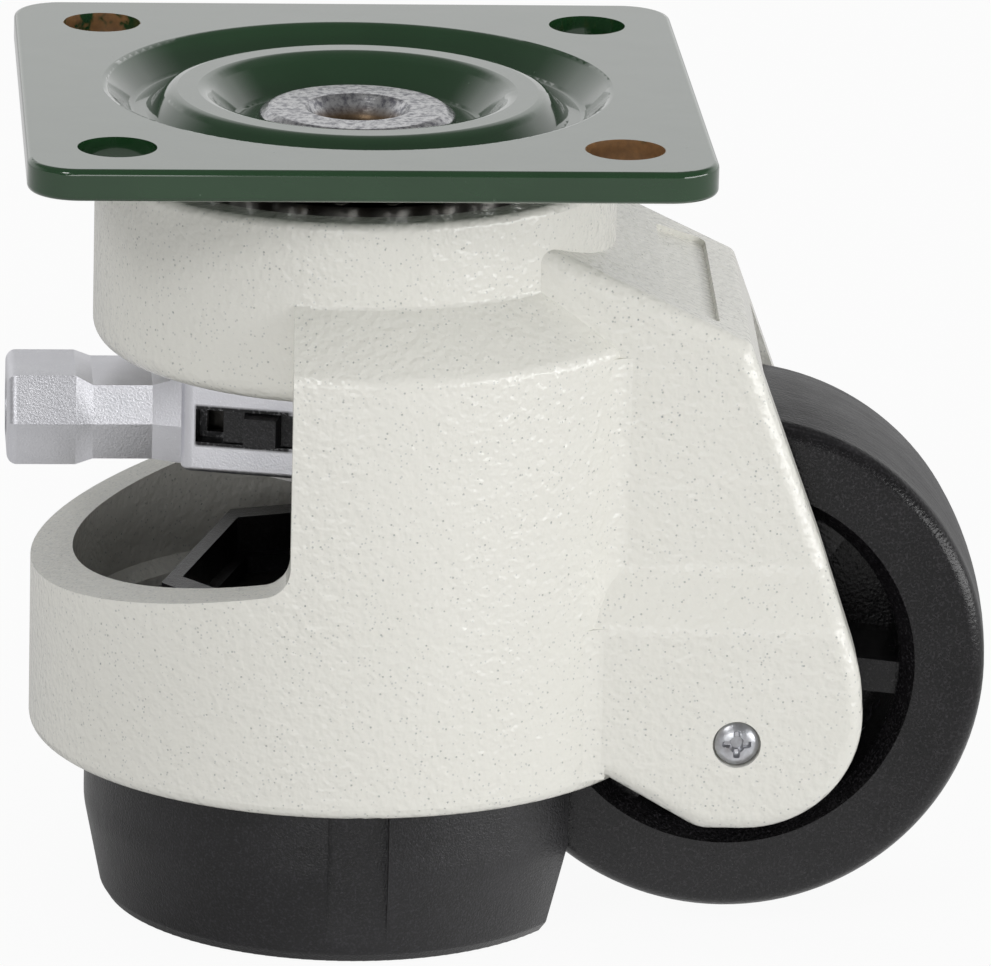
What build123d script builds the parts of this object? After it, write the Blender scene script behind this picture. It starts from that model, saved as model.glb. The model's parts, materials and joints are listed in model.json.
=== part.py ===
"""Levelling castor: a swivelling wheel fork with a screw-down foot and a ratchet lever.

Frame: Z is the swivel axis, +Z is up, and the origin lies on that axis in the top face of the
mounting plate, whose sides run along X and Y.  Heights below the plate are written as depths
and drawn downwards.  The swivelling pieces are drawn with the wheel on +X and the lever's
pieces with the handle on -X; each set is then turned to the angle at which it stands.
"""
import math
import os

from build123d import *

os.makedirs("parts", exist_ok=True)

# ---- driving dimensions (mm, degrees) --------------------------------------------------

# How the pieces stand
fork_turn = -2.2             # swivelled pieces, from the plate's own +X
lever_turn = 0.0             # lever, from the plate's own -X

# Clearances
slip = 0.05                  # radial play of a shaft or spigot in its bore
face_gap = 0.1               # between flat faces that pass each other
free_gap = 0.35              # between curved faces that pass each other
ball_gap = 0.15              # between a ball and the floor of its track

# Edges, and how far a cutting shape stands past the piece it cuts
broken_edge = 0.5            # on turned and punched pieces
fine_edge = 0.3
soft_edge = 0.8              # on cast and moulded pieces
overrun = 1.0
clear = 5.0

# Mounting plate: a pressed steel square with a raised ring that carries the upper balls
plate_side = 95.0
plate_thick = 4.5
plate_corner = 7.0
plate_edge = 0.8
hole_pitch = 70.0
hole_dia = 11.0
dish_lip = 35.6              # where the pressing leaves the flat plate
dish_rim = 37.2              # where the turned pressing meets the flat square
dish_groove = 30.7           # middle of the groove round the raised ring
groove_half = 1.3
groove_outer = 2.5           # half widths of the groove's wall seen from below
groove_inner = 1.7
crest_round = 2.5
groove_round = 1.2
press_thinning = 0.2         # loss of thickness at the bottom of the pressing
track_lip = 1.4              # depth of the lip beside the ball track, below the ring
track_lip_outer = 0.4
track_lip_inner = 0.3
dish_depth = 3.8
ring_crest = 0.7             # how far the raised ring stays below the plate's face
ring_half = 2.6
seat_radius = 17.3
seat_depth = 5.5

# Swivel bearing
row_radius = 24.0            # upper row of balls, under the raised ring
ball_dia = 6.35
ball_count = 22
track_depth = 1.1
race_inner = 19.6
race_outer = 32.2
race_thick = 3.2
small_row_radius = 17.4      # lower row of balls, under the fork's web
small_ball_dia = 4.76
small_ball_count = 20
small_track_depth = 0.9
small_race_inner = 13.0
small_race_outer = 22.2
small_race_thick = 2.6
cup_thick = 3.4

# Kingpin: a hollow rivet through plate, spacer and lower ball cup
pin_radius = 8.0
pin_bore = 5.3
pin_funnel = 7.4
pin_head = 13.9
pin_head_thick = 2.3
pin_flare = 11.6
pin_flare_thick = 2.2
pin_crown = 1.4              # width and drop of the head's sloping edge
pin_crown_drop = 1.0
pin_mouth = 3.0              # depth of the funnel at the top of the bore
pin_exit = 1.6               # height and flare of the bore's lower end
pin_exit_flare = 1.2
spacer_radius = 10.6

# Fork and cup, one casting
head_radius = 36.9
head_top = 10.5
head_bottom = 34.6           # seat of the thrust plate
skirt_bottom = 37.0          # lower edge of the head's wall, round the thrust plate
skirt_round = 3.0
head_recess = 32.5
web_thick = 5.0
head_hollow = 26.0
cup_radius = 45.4
cup_bottom = 94.2
shell_bore = 39.4
guide_bore = 37.75
guide_top = 79.0
ledge_top = 22.4
ledge_bottom = 30.8
head_round = 1.2
ledge_round = 2.0
cup_round = 1.6
shell_roof_round = 2.0
guide_lead = 2.0             # height of the step from the shell's bore to the guide's
window_edge = -8.9           # x of the column's front edge
window_corner = 4.5
rim_height = 68.4            # depth of the cup's rim at rim_at
rim_at = -40.0
rim_slope = 0.22

# Fork arms and the sloping roof over the wheel
arm_root = 20.0              # x inside the shell from which the arms are drawn
arm_inner = 18.0
arm_outer = 26.8
pad_outer = 30.3
pad_top = 62.6
pad_full = 70.4
roof_start = 27.8            # x at which the roof leaves the head
roof_depth = 17.0
roof_slope = 0.475
roof_end = 55.1
roof_thick = 5.0
roof_round = 2.4
roof_end_round = 1.5
corner_round = 5.0           # inner corner between arm and shell
bury = 0.05                  # how far a blending piece starts under the surface it meets
arm_knee = 65.8
arm_knee_depth = 58.9
arm_tip = 73.5
arm_bottom = 100.1
arm_round = 16.5
arm_rise = 23.0              # height of the arm's front corner over its lowest edge
arm_lean = 1.7               # how far that corner stands behind the tip
arm_front_round = 20.0
arm_knee_round = 30.0
heel_length = 24.1           # flat lower edge of the arm, behind the tip
heel_run = 13.4              # slope from the heel up to the cup
heel_rise = 1.8
heel_round = 6.0
heel_start_round = 3.0
step_round = 5.0             # where the arm widens to its pad
panel_length = 8.1
panel_back = 17.9            # half width of the panel at its upper and lower ends
panel_front = 22.4
panel_depth = 0.8
panel_round = 1.0
panel_at = 47.15             # x of the middle of the bare panel in the roof

# Wheel and axle
wheel_x = 53.9
wheel_depth = 80.1
wheel_radius = 37.0
wheel_crown = 0.8
wheel_width = 32.0
wheel_edge = 2.4
wheel_gap = 2.8
face_radius = 26.4
pocket_radius = 24.4
hub_radius = 12.0
rib_count = 6
rib_thick = 4.7
rib_recess = 3.5
pocket_lead = 1.0            # height of the plain wall over the ribs' faces
rib_angle = -6.0
web_front = 4.5
wheel_web = 4.0
axle_radius = 5.0
bush_radius = 7.0
washer_radius = 9.5
washer_thick = 0.9
slot_depth = 5.5             # how far the axle's slots go into the arms
screw_radius = 2.0
screw_head_radius = 3.1
screw_head_height = 2.1
screw_head_round = 0.9
screw_sink = 3.4
screw_sink_depth = 2.0
screw_length = 8.5
cross_length = 3.6           # cross recess in the axle screws' heads
cross_width = 0.8
cross_depth = 1.1
screw_shift = 0.6            # how far the axle screws stand beyond the axle, along +X

# Thrust plate under the head
thrust_thick = 2.4
thrust_radius = 33.6
thrust_screw_circle = 29.8
thrust_screw_count = 4
thrust_screw_radius = 2.0
thrust_screw_head = 3.9
thrust_screw_length = 10.0
driver_slot = (4.2, 0.8, 1.4)             # length, width, depth

# Ratchet nut and its rings
nut_journal = 11.0
nut_top = 32.0
nut_bottom = 56.0
teeth_top = 39.5
teeth_bottom = 52.9
tooth_count = 24
tooth_tip = 14.0
tooth_root = 12.6
tooth_land = 0.34            # share of the pitch that a tooth's tip takes
nut_tail = 11.5
slide_ring_thick = 2.4
slide_ring_radius = 16.5
clip_thick = 1.2
clip_depth = 0.7
clip_lip = 2.0
clip_opening = 4.0
keeper_radius = 16.5
keeper_thick = 0.8

# Lever
lever_top = 39.8
lever_bottom = 53.4
lever_ring = 17.6
lever_taper = 14.8
lever_nose = -24.6
lever_nose_round = 2.0
lever_end_round = 1.4
nose_inset = 1.4             # how far the neck's root stands inside the nose, each side
nose_step = 0.4              # and at its top and bottom
neck_start = -28.6
neck_end = -37.0
block_start = -39.4
block_end = -49.1
ridge_depth = 47.4
neck_section = (42.0, 52.8, 7.6, 8.8)     # top, bottom, half widths at the flats and the ridge
block_section = (40.9, 53.9, 6.8, 8.9)
socket_radius = 4.1
socket_depth = 9.0
slot_top = 44.1
slot_bottom = 48.9
slot_start = -22.67
slot_length = 19.2
slot_sink = 3.0
slot_lip = 0.9               # over and under the selector's finger
pawl_top = 44.0
pawl_bottom = 49.2
pocket_back = -26.5
pocket_back_half = 5.2
pocket_wide = -22.5          # x from which the pocket has its full width
pocket_half = 8.7

# Pawl, selector and detent
pawl_x = -21.5
pawl_pin_radius = 1.6
pin_sink = 0.4               # how far the pin's ends stand inside the lever's faces
pawl_thick = 4.8
pawl_tip_x = -13.53
pawl_tip_y = 4.89
pawl_shoulder_x = -16.8
pawl_shoulder_y = 7.6
pawl_waist = 5.6             # half width at the pin
pawl_waist_round = 1.5
pawl_back = -25.2
pawl_back_half = 3.0
pawl_hollow = -16.0          # x of the hollow between the two tips
selector_length = 11.4
selector_travel = 2.9        # each way, until the pawl meets the nut
finger_at = -4.2             # along the slot, from its middle
finger_width = 2.4
finger_length = 1.9
selector_thick = 2.2
knob_width = 5.2
knob_height = 2.6
detent_ball_radius = 1.9
detent_bore = 2.1
coil_radius = 1.4
detent_depth = 10.0
detent_wire = 0.5
detent_turns = 6
spring_length = 6.4

# Screw spindle and foot
spindle_radius = 8.0
spindle_top = 38.7
spindle_lead = 1.8
spindle_collar = 11.0
collar_top = 74.0
collar_thick = 4.0
tenon_radius = 6.0
tenon_end = 104.0
insert_thick = 4.0
insert_flat = 10.0
foot_radius = 37.4
foot_deck = 82.0
foot_bottom = 118.8
foot_taper_from = 105.5
foot_sole = 35.0
foot_round = 1.0
foot_bend = 12.0             # radius where the side turns inwards
sole_edge = 1.4
sole_bevel = 0.9
sole_round = 0.4
notch_x = 14.0
notch_half = 20.0
notch_round = 3.0
key_angle = -87.8
key_width = 8.2
key_height = 2.2
key_gap = 0.2
tower_top = 70.0
tower_half = 22.5            # from the middle to each long side
tower_apex = 34.0            # from the middle to each pointed end
tower_lean = 34.0            # angle of the pointed ends' faces
tower_side_wall = 2.1
tower_end_wall = 4.2
tower_ledge = 1.8            # width of the step inside the wall
tower_turn = -15.2
tower_floor = 75.4
bolt_radius = 4.0
bolt_head_radius = 6.5
bolt_head_height = 7.0
bolt_hex = 6.0
bolt_sink = 11.0
bolt_sink_depth = 13.0
bolt_washer_thick = 2.0
bolt_washer_radius = 10.0
bolt_length = 22.0

# ---- worked out from the above ---------------------------------------------------------

ball_radius = ball_dia / 2
track_radius = ball_radius + ball_gap
ring_under = ring_crest + plate_thick
ball_depth = ring_under + track_radius
race_top = ball_depth + track_radius - track_depth
race_bottom = race_top + race_thick
web_bottom = race_bottom + web_thick
small_ball_radius = small_ball_dia / 2
small_track_radius = small_ball_radius + ball_gap
small_race_bottom = web_bottom + small_race_thick
small_ball_depth = small_race_bottom - small_track_depth + small_track_radius
lower_cup_top = small_ball_depth + small_track_radius - small_track_depth
lower_cup_bottom = lower_cup_top + cup_thick
seat_under = seat_depth + plate_thick - press_thinning
groove_under = dish_depth + plate_thick - press_thinning
pin_top = seat_depth - pin_head_thick
pin_end = lower_cup_bottom + pin_flare_thick
thrust_bottom = head_bottom + thrust_thick
wheel_half = wheel_width / 2
pocket_arc = wheel_radius + wheel_gap
axle_half = arm_inner + slot_depth - 0.2
screw_depth = wheel_depth + axle_radius + slip + screw_radius
screw_x = wheel_x + screw_shift
bolt_seat = foot_bottom - bolt_sink_depth
bolt_end = bolt_seat + bolt_washer_thick - bolt_length
roof_angle = math.degrees(math.atan(roof_slope))
screw_seat = pad_outer - screw_sink_depth
arm_heel = arm_tip - heel_length
pocket_start = cup_radius + overrun
guide_start = guide_top - 2 * guide_lead


def roof_at(x):
    """Height of the roof's face at x, as a depth below the plate."""
    return roof_depth + roof_slope * (x - roof_start)


# ---- helpers ---------------------------------------------------------------------------

def outline(*corners):
    """Closed face through (x, y) corners, each rounded where a third value gives a radius."""
    points = [corner[:2] for corner in corners]
    rounds = [corner[2] if len(corner) > 2 else 0 for corner in corners]
    with BuildLine() as edge:
        FilletPolyline(*points, radius=rounds, close=True)
    make_face(edge.line)


def turned(*corners):
    """Solid of revolution about Z from (radius, depth) corners, with optional roundings."""
    with BuildSketch(Plane.XZ) as profile:
        outline(*[(corner[0], -corner[1], *corner[2:]) for corner in corners])
    revolve(profile.sketch, axis=Axis.Z)


def level(depth):
    """Plane parallel to the mounting plate, at a depth below its top face."""
    return Plane.XY.offset(-depth)


def write(piece, name, turn=0.0):
    """Turn a finished piece about the swivel axis to where it stands and write it."""
    placed = piece.part.rotate(Axis.Z, turn)
    placed.label = name
    export_step(placed, f"parts/{name}.step")


# ---- mounting plate and kingpin --------------------------------------------------------

with BuildPart() as top_plate:
    with BuildSketch():
        RectangleRounded(plate_side, plate_side, plate_corner)
        with GridLocations(hole_pitch, hole_pitch, 2, 2):
            Circle(hole_dia / 2, mode=Mode.SUBTRACT)
        Circle(dish_rim, mode=Mode.SUBTRACT)
    extrude(amount=-plate_thick)
    outer_face = top_plate.faces().sort_by(Axis.Z)
    fillet(outer_face[0].outer_wire().edges() + outer_face[-1].outer_wire().edges(), plate_edge)
    turned(
        (pin_radius, seat_depth),
        (seat_radius, seat_depth, groove_round),
        (row_radius - ring_half, ring_crest, crest_round),
        (row_radius + ring_half, ring_crest, crest_round),
        (dish_groove - groove_half, dish_depth, groove_round),
        (dish_groove + groove_half, dish_depth, groove_round),
        (dish_lip, 0, groove_round),
        (dish_rim, 0),
        (dish_rim, plate_thick),
        (dish_rim - soft_edge, plate_thick, broken_edge),
        (dish_groove + groove_outer, groove_under, groove_round),
        (dish_groove - groove_inner, groove_under, groove_round),
        (row_radius + track_radius + track_lip_outer, ring_under + track_lip, soft_edge),
        (row_radius - track_radius - track_lip_inner, ring_under + track_lip, soft_edge),
        (seat_radius + groove_inner, seat_under, groove_round),
        (pin_radius, seat_under),
    )
    with Locations((0, 0, -ball_depth)):
        Torus(row_radius, track_radius, mode=Mode.SUBTRACT)
write(top_plate, "top_plate")

with BuildPart() as kingpin:
    turned(
        (pin_funnel, pin_top, broken_edge),
        (pin_head - pin_crown, pin_top, soft_edge),
        (pin_head, pin_top + pin_crown_drop, broken_edge),
        (pin_head, seat_depth, fine_edge),
        (pin_radius, seat_depth),
        (pin_radius, lower_cup_bottom),
        (pin_flare, lower_cup_bottom, broken_edge),
        (pin_flare, pin_end, soft_edge),
        (pin_bore + pin_exit_flare, pin_end, broken_edge),
        (pin_bore, pin_end - pin_exit, broken_edge),
        (pin_bore, pin_top + pin_mouth, pin_exit),
    )
write(kingpin, "kingpin")

with BuildPart() as spacer_sleeve:
    turned(
        (pin_radius, seat_under),
        (spacer_radius, seat_under),
        (spacer_radius, lower_cup_top),
        (pin_radius, lower_cup_top),
    )
write(spacer_sleeve, "spacer_sleeve")

# ---- swivel bearing --------------------------------------------------------------------

with BuildPart() as upper_balls:
    with Locations((0, 0, -ball_depth)):
        with PolarLocations(row_radius, ball_count):
            Sphere(ball_radius)
write(upper_balls, "upper_balls")

with BuildPart() as upper_race:
    turned(
        (race_inner, race_top, broken_edge),
        (race_outer, race_top, broken_edge),
        (race_outer, race_bottom),
        (race_inner, race_bottom),
    )
    with Locations((0, 0, -ball_depth)):
        Torus(row_radius, track_radius, mode=Mode.SUBTRACT)
write(upper_race, "upper_race", fork_turn)

with BuildPart() as lower_race:
    turned(
        (small_race_inner, web_bottom),
        (small_race_outer, web_bottom),
        (small_race_outer, small_race_bottom, broken_edge),
        (small_race_inner, small_race_bottom, broken_edge),
    )
    with Locations((0, 0, -small_ball_depth)):
        Torus(small_row_radius, small_track_radius, mode=Mode.SUBTRACT)
write(lower_race, "lower_race", fork_turn)

with BuildPart() as lower_balls:
    with Locations((0, 0, -small_ball_depth)):
        with PolarLocations(small_row_radius, small_ball_count):
            Sphere(small_ball_radius)
write(lower_balls, "lower_balls")

with BuildPart() as lower_ball_cup:
    turned(
        (pin_radius, lower_cup_top),
        (small_race_outer, lower_cup_top, broken_edge),
        (small_race_outer, lower_cup_bottom, soft_edge),
        (pin_radius, lower_cup_bottom),
    )
    with Locations((0, 0, -small_ball_depth)):
        Torus(small_row_radius, small_track_radius, mode=Mode.SUBTRACT)
write(lower_ball_cup, "lower_ball_cup")

# ---- fork casting ----------------------------------------------------------------------

# Arms and roof: side view drawn in XZ, then cut to the stepped width seen along X
with BuildPart() as arms:
    with BuildSketch(Plane.XZ):
        outline(
            (arm_root, -roof_at(arm_root)),
            (roof_end, -roof_at(roof_end), roof_end_round),
            (arm_knee, -arm_knee_depth, arm_knee_round),
            (arm_tip - arm_lean, -arm_bottom + arm_rise, arm_front_round),
            (arm_tip, -arm_bottom, arm_round),
            (arm_heel, -arm_bottom, heel_round),
            (arm_heel - heel_run, -cup_bottom + heel_rise, heel_start_round),
            (arm_root, -cup_bottom + heel_rise),
        )
    extrude(amount=pad_outer, both=True)
    with BuildSketch(Plane.YZ):
        outline(
            (-arm_outer, 0),
            (-arm_outer, -pad_top, step_round),
            (-pad_outer, -pad_full, step_round),
            (-pad_outer, -arm_bottom - clear),
            (pad_outer, -arm_bottom - clear),
            (pad_outer, -pad_full, step_round),
            (arm_outer, -pad_top, step_round),
            (arm_outer, 0),
        )
    extrude(amount=arm_tip + clear, mode=Mode.INTERSECT)
    roof_sides = arms.faces().filter_by(
        lambda f: f.normal_at().X > 0.2 and f.normal_at().Z > 0.7
    ).edges().filter_by(Axis.Y, reverse=True)
    fillet(roof_sides, roof_round)
    roof_plane = Plane(
        origin=(panel_at, 0, -roof_at(panel_at)),
        x_dir=(math.cos(math.radians(roof_angle)), 0, -math.sin(math.radians(roof_angle))),
        z_dir=(math.sin(math.radians(roof_angle)), 0, math.cos(math.radians(roof_angle))),
    )
    with BuildSketch(roof_plane):
        outline(
            (-panel_length / 2, -panel_back, panel_round),
            (panel_length / 2, -panel_front, panel_round),
            (panel_length / 2, panel_front, panel_round),
            (-panel_length / 2, panel_back, panel_round),
        )
    extrude(amount=-panel_depth, mode=Mode.SUBTRACT)

with BuildPart() as housing:
    # Head, sloping ledge and full-height shell turned in one, then hollowed
    turned(
        (0, head_top),
        (head_radius, head_top, head_round),
        (head_radius, ledge_top, soft_edge),
        (cup_radius, ledge_bottom, ledge_round),
        (cup_radius, cup_bottom, cup_round),
        (0, cup_bottom),
    )
    add(arms.part)
    # Rounded inner corners where the arms leave the shell
    for half, top in ((arm_outer, ledge_bottom + overrun), (pad_outer, pad_full)):
        centre_y = half + corner_round
        centre_x = math.sqrt((cup_radius + corner_round) ** 2 - centre_y**2)
        lean = math.atan2(centre_x, centre_y)
        shell_x = (cup_radius - bury) * math.sin(lean)
        shell_y = (cup_radius - bury) * math.cos(lean)
        middle_x = centre_x - corner_round * math.sin(lean / 2)
        middle_y = centre_y - corner_round * math.cos(lean / 2)
        with BuildSketch(level(top)):
            for side in (-1, 1):
                with BuildLine():
                    ThreePointArc(
                        (shell_x, side * shell_y),
                        (middle_x, side * middle_y),
                        (centre_x, side * (half - bury)),
                    )
                    Polyline(
                        (centre_x, side * (half - bury)),
                        (centre_x, side * (half - corner_round)),
                        (shell_x - corner_round, side * (half - corner_round)),
                        (shell_x, side * shell_y),
                    )
                make_face()
        extrude(amount=top - cup_bottom + cup_round + bury)
    with BuildSketch(Plane.XZ):
        outline(
            (0, -skirt_bottom),
            (shell_bore, -skirt_bottom, shell_roof_round),
            (shell_bore, -guide_top),
            (guide_bore, -guide_top - guide_lead),
            (guide_bore, -cup_bottom - overrun),
            (0, -cup_bottom - overrun),
        )
    revolve(axis=Axis.Z, mode=Mode.SUBTRACT)
    with BuildSketch(level(head_bottom)):
        Circle(thrust_radius + slip)
    extrude(amount=head_bottom - skirt_bottom, mode=Mode.SUBTRACT)
    # Window on the lever's side: round the head above, down to the cup's sloping rim below
    far = 2 * cup_radius
    with BuildSketch(level(head_top)):
        with Locations((window_edge - far / 2, 0)):
            Rectangle(far, 2 * far)
        Circle(head_radius, mode=Mode.SUBTRACT)
    extrude(amount=head_top - skirt_bottom - overrun, mode=Mode.SUBTRACT)
    with BuildSketch(Plane.XZ):
        outline(
            (window_edge, -skirt_bottom),
            (window_edge, -rim_height + rim_slope * (window_edge - rim_at), window_corner),
            (-far, -rim_height + rim_slope * (-far - rim_at)),
            (-far, -skirt_bottom),
        )
    extrude(amount=far, both=True, mode=Mode.SUBTRACT)
    head_rim = housing.edges().filter_by(GeomType.CIRCLE).filter_by(
        lambda edge: abs(edge.center().Z + skirt_bottom) < 0.01
        and abs(edge.radius - head_radius) < 0.01
    )
    fillet(head_rim, skirt_round)
    # Pocket for the wheel, open downwards and to the right, under the sloping roof
    with BuildSketch(Plane.XZ):
        with Locations((wheel_x, -wheel_depth)):
            Circle(pocket_arc)
        outline(
            (wheel_x - pocket_arc, -wheel_depth),
            (wheel_x - pocket_arc, -arm_bottom - clear),
            (2 * wheel_x, -arm_bottom - clear),
            (2 * wheel_x, -roof_at(2 * wheel_x) - roof_thick),
            (pocket_start, -roof_at(pocket_start) - roof_thick, shell_roof_round),
            (pocket_start, -wheel_depth),
        )
    extrude(amount=arm_inner, both=True, mode=Mode.SUBTRACT)
    # Head: recess for the upper race, bore round the kingpin, hollow for the lower balls
    with BuildSketch(level(head_top)):
        Circle(head_recess)
    extrude(amount=head_top - race_bottom, mode=Mode.SUBTRACT)
    with BuildSketch(level(race_bottom)):
        Circle(small_race_inner)
    extrude(amount=race_bottom - head_bottom, mode=Mode.SUBTRACT)
    with BuildSketch(level(head_bottom)):
        Circle(head_hollow)
    extrude(amount=head_bottom - web_bottom, mode=Mode.SUBTRACT)
    with BuildSketch(level(head_bottom)):
        with PolarLocations(thrust_screw_circle, thrust_screw_count, start_angle=45):
            Circle(thrust_screw_radius)
    extrude(amount=thrust_screw_length - thrust_thick + overrun, mode=Mode.SUBTRACT)
    # Slots for the axle, open at the bottom, in the inner face of each arm
    for side in (-1, 1):
        with BuildSketch(Plane.XZ.offset(-side * arm_inner)):
            with Locations((wheel_x, -wheel_depth)):
                Circle(axle_radius + slip)
            with Locations((wheel_x, -(wheel_depth + arm_bottom + clear) / 2)):
                Rectangle(2 * (axle_radius + slip), arm_bottom + clear - wheel_depth)
        extrude(amount=-side * slot_depth, mode=Mode.SUBTRACT)
        # Screw hole and its sink just under the axle
        with BuildSketch(Plane.XZ.offset(-side * arm_inner)):
            with Locations((screw_x, -screw_depth)):
                Circle(screw_radius)
        extrude(amount=-side * (pad_outer - arm_inner), mode=Mode.SUBTRACT)
        with BuildSketch(Plane.XZ.offset(-side * screw_seat)):
            with Locations((screw_x, -screw_depth)):
                Circle(screw_sink)
        extrude(amount=-side * screw_sink_depth, mode=Mode.SUBTRACT)
    # Two keys that run in the foot's grooves
    with BuildSketch(level(guide_start)):
        with PolarLocations(guide_bore, 2, start_angle=key_angle):
            Rectangle(2 * key_height, key_width)
    extrude(amount=guide_start - cup_bottom + soft_edge)
write(housing, "fork_housing", fork_turn)

# ---- wheel and axle --------------------------------------------------------------------

wheel_axis = Axis((wheel_x, 0, -wheel_depth), (0, 1, 0))
wheel_plane = Plane(origin=(wheel_x, 0, -wheel_depth), x_dir=(1, 0, 0), z_dir=(0, 0, 1))
hub_half = arm_inner - washer_thick - 2 * face_gap
rib_front = wheel_half - rib_recess
web_back = web_front + wheel_web
tread_edge = wheel_radius - wheel_crown

with BuildPart() as wheel:
    with BuildSketch(wheel_plane) as section:
        with BuildLine():
            ThreePointArc((tread_edge, -wheel_half), (wheel_radius, 0), (tread_edge, wheel_half))
            Polyline(
                (tread_edge, wheel_half),
                (face_radius, wheel_half),
                (pocket_radius, rib_front + pocket_lead),
                (pocket_radius, web_back),
                (hub_radius, web_back),
                (hub_radius, hub_half),
                (bush_radius, hub_half),
                (bush_radius, -hub_half),
                (hub_radius, -hub_half),
                (hub_radius, web_front),
                (pocket_radius, web_front),
                (pocket_radius, -rib_front - pocket_lead),
                (face_radius, -wheel_half),
                (tread_edge, -wheel_half),
            )
        make_face()
        fillet(section.vertices().group_by(Axis.X)[-1], wheel_edge)
    revolve(axis=wheel_axis)
    # Radial ribs between hub and rim, deep on the near side and shallow on the far side
    rib_length = pocket_radius - hub_radius + overrun
    rib_middle = (pocket_radius + hub_radius) / 2
    for start, height in ((web_front, web_front + rib_front), (rib_front, rib_front - web_back)):
        with BuildSketch(Plane.XZ.offset(-start)):
            with Locations((wheel_x, -wheel_depth)):
                with PolarLocations(rib_middle, rib_count, start_angle=rib_angle):
                    Rectangle(rib_length, rib_thick)
        extrude(amount=height)
write(wheel, "wheel", fork_turn)


def round_bar(outer, inner, start, end):
    """Tube or bar about the wheel's axis, between two distances along +Y."""
    with BuildSketch(Plane.XZ.offset(-end)) as ring:
        with Locations((wheel_x, -wheel_depth)):
            Circle(outer)
            if inner:
                Circle(inner, mode=Mode.SUBTRACT)
    extrude(ring.sketch, amount=end - start)


with BuildPart() as wheel_bush:
    round_bar(bush_radius, axle_radius + slip, -hub_half, hub_half)
write(wheel_bush, "wheel_bush", fork_turn)

with BuildPart() as axle:
    round_bar(axle_radius, 0, -axle_half, axle_half)
    chamfer(axle.edges().filter_by(GeomType.CIRCLE), broken_edge)
write(axle, "axle", fork_turn)

with BuildPart() as wheel_washers:
    for start in (-arm_inner + face_gap, arm_inner - face_gap - washer_thick):
        round_bar(washer_radius, axle_radius, start, start + washer_thick)
write(wheel_washers, "wheel_washers", fork_turn)

with BuildPart() as axle_screws:
    for side in (-1, 1):
        with BuildSketch(Plane.XZ.offset(-side * screw_seat)):
            with Locations((screw_x, -screw_depth)):
                Circle(screw_head_radius)
        extrude(amount=-side * screw_head_height)
        with BuildSketch(Plane.XZ.offset(-side * screw_seat)):
            with Locations((screw_x, -screw_depth)):
                Circle(screw_radius)
        extrude(amount=side * screw_length)
        head_top_y = side * (screw_seat + screw_head_height)
        domed = axle_screws.edges().filter_by(GeomType.CIRCLE).filter_by(
            lambda edge: abs(edge.center().Y - head_top_y) < 0.01
        )
        fillet(domed, screw_head_round)
        with BuildSketch(Plane.XZ.offset(-head_top_y)):
            with Locations((screw_x, -screw_depth)):
                Rectangle(cross_length, cross_width)
                Rectangle(cross_width, cross_length)
        extrude(amount=side * cross_depth, mode=Mode.SUBTRACT)
write(axle_screws, "axle_screws", fork_turn)

# ---- thrust plate under the head -------------------------------------------------------

sink_height = thrust_screw_head - thrust_screw_radius
with BuildPart() as thrust_plate:
    turned(
        (nut_journal + slip, head_bottom),
        (thrust_radius, head_bottom),
        (thrust_radius, thrust_bottom, broken_edge),
        (nut_journal + slip, thrust_bottom),
    )
    with Locations((0, 0, -thrust_bottom + thrust_thick / 2)):
        with PolarLocations(thrust_screw_circle, thrust_screw_count, start_angle=45):
            Cylinder(thrust_screw_radius, thrust_thick, mode=Mode.SUBTRACT)
    with Locations((0, 0, -thrust_bottom + sink_height / 2)):
        with PolarLocations(thrust_screw_circle, thrust_screw_count, start_angle=45):
            Cone(thrust_screw_head, thrust_screw_radius, sink_height, mode=Mode.SUBTRACT)
write(thrust_plate, "thrust_plate", fork_turn)

with BuildPart() as thrust_screws:
    with Locations((0, 0, -thrust_bottom + thrust_screw_length / 2)):
        with PolarLocations(thrust_screw_circle, thrust_screw_count, start_angle=45):
            Cylinder(thrust_screw_radius, thrust_screw_length)
    with Locations((0, 0, -thrust_bottom + sink_height / 2)):
        with PolarLocations(thrust_screw_circle, thrust_screw_count, start_angle=45):
            Cone(thrust_screw_head, thrust_screw_radius, sink_height)
    with Locations((0, 0, -thrust_bottom + driver_slot[2] / 2)):
        with PolarLocations(thrust_screw_circle, thrust_screw_count, start_angle=45):
            Box(*driver_slot, mode=Mode.SUBTRACT)
write(thrust_screws, "thrust_screws", fork_turn)

with BuildPart() as slide_ring:
    turned(
        (nut_journal + slip, thrust_bottom),
        (slide_ring_radius, thrust_bottom),
        (slide_ring_radius, thrust_bottom + slide_ring_thick, fine_edge),
        (nut_journal + slip, thrust_bottom + slide_ring_thick, fine_edge),
    )
write(slide_ring, "slide_ring", fork_turn)

# ---- ratchet nut -----------------------------------------------------------------------

pitch = 360 / tooth_count
keeper_top = lever_bottom + face_gap
lower_clip = keeper_top + keeper_thick
upper_clip = head_bottom - face_gap - clip_thick


def tooth_ring():
    """Closed outline of the ratchet teeth, with a gap on the -X axis."""
    land = math.radians(pitch * tooth_land)
    gap = math.radians(pitch * (1 - tooth_land) / 2)
    points = []
    for tooth in range(tooth_count):
        middle = math.radians((tooth + 0.5) * pitch)
        for radius, turn in (
            (tooth_root, -land / 2 - gap / 2),
            (tooth_tip, -land / 2),
            (tooth_tip, land / 2),
            (tooth_root, land / 2 + gap / 2),
        ):
            points.append((radius * math.cos(middle + turn), radius * math.sin(middle + turn)))
    with BuildLine() as edge:
        Polyline(*points, close=True)
    make_face(edge.line)


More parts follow.
